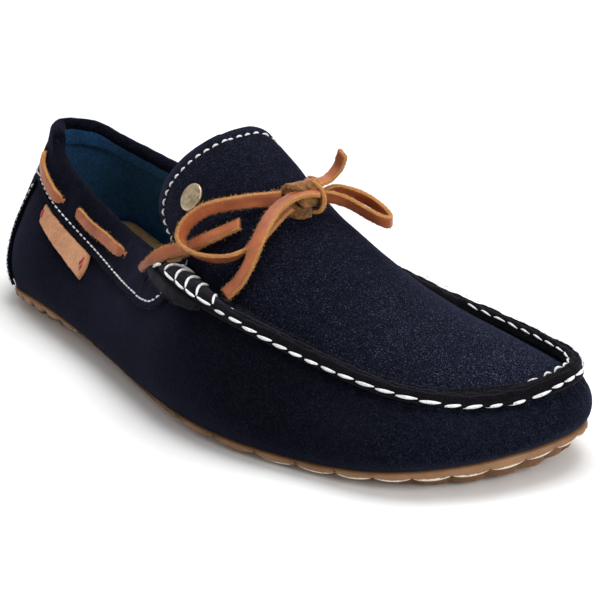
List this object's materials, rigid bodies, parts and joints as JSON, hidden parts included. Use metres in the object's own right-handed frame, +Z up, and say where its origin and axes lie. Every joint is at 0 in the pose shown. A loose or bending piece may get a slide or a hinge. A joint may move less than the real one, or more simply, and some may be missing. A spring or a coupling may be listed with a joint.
{
  "type": "driving shoe",
  "caption": "Low slip-on driving moccasin with a raised apron seam, tongue flap, rolled collar band, leather lace tied in a bow, and a thin rubber sole with lobed tread.",
  "frame": {"origin": "centre of the shoe's plan, on the floor that it stands on", "axes": "+X from heel to toe, +Y to the wearer's left (the inner side of this right shoe), +Z up"},
  "size_m": [0.2807, 0.1108, 0.0888],
  "materials": {
    "suede": "napped suede",
    "rubber": "matt moulded",
    "sock leather": "smooth",
    "lace leather": "smooth face, rough cut edges",
    "tag leather": "smooth",
    "brass": "aged, satin"
  },
  "bodies": {
    "root": {"Upper": "suede", "Outsole": "rubber", "Insole": "sock leather", "Collar_Band": "suede", "Heel_Counter": "suede", "Apron_Seam": "suede", "Throat_Tab_Outer": "suede", "Throat_Tab_Inner": "suede", "Lace_Band_Outer_Front": "lace leather", "Lace_Band_Outer_Rear": "lace leather", "Lace_Band_Inner_Front": "lace leather", "Lace_Band_Inner_Rear": "lace leather", "Lace_Cross_Outer": "lace leather", "Lace_Cross_Inner": "lace leather", "Lace_Loop_Outer": "lace leather", "Lace_Loop_Inner": "lace leather", "Lace_End_Outer": "lace leather", "Lace_End_Inner": "lace leather", "Lace_Knot": "lace leather", "Rivet": "brass", "Side_Tag": "tag leather"}
  },
  "joints": []
}
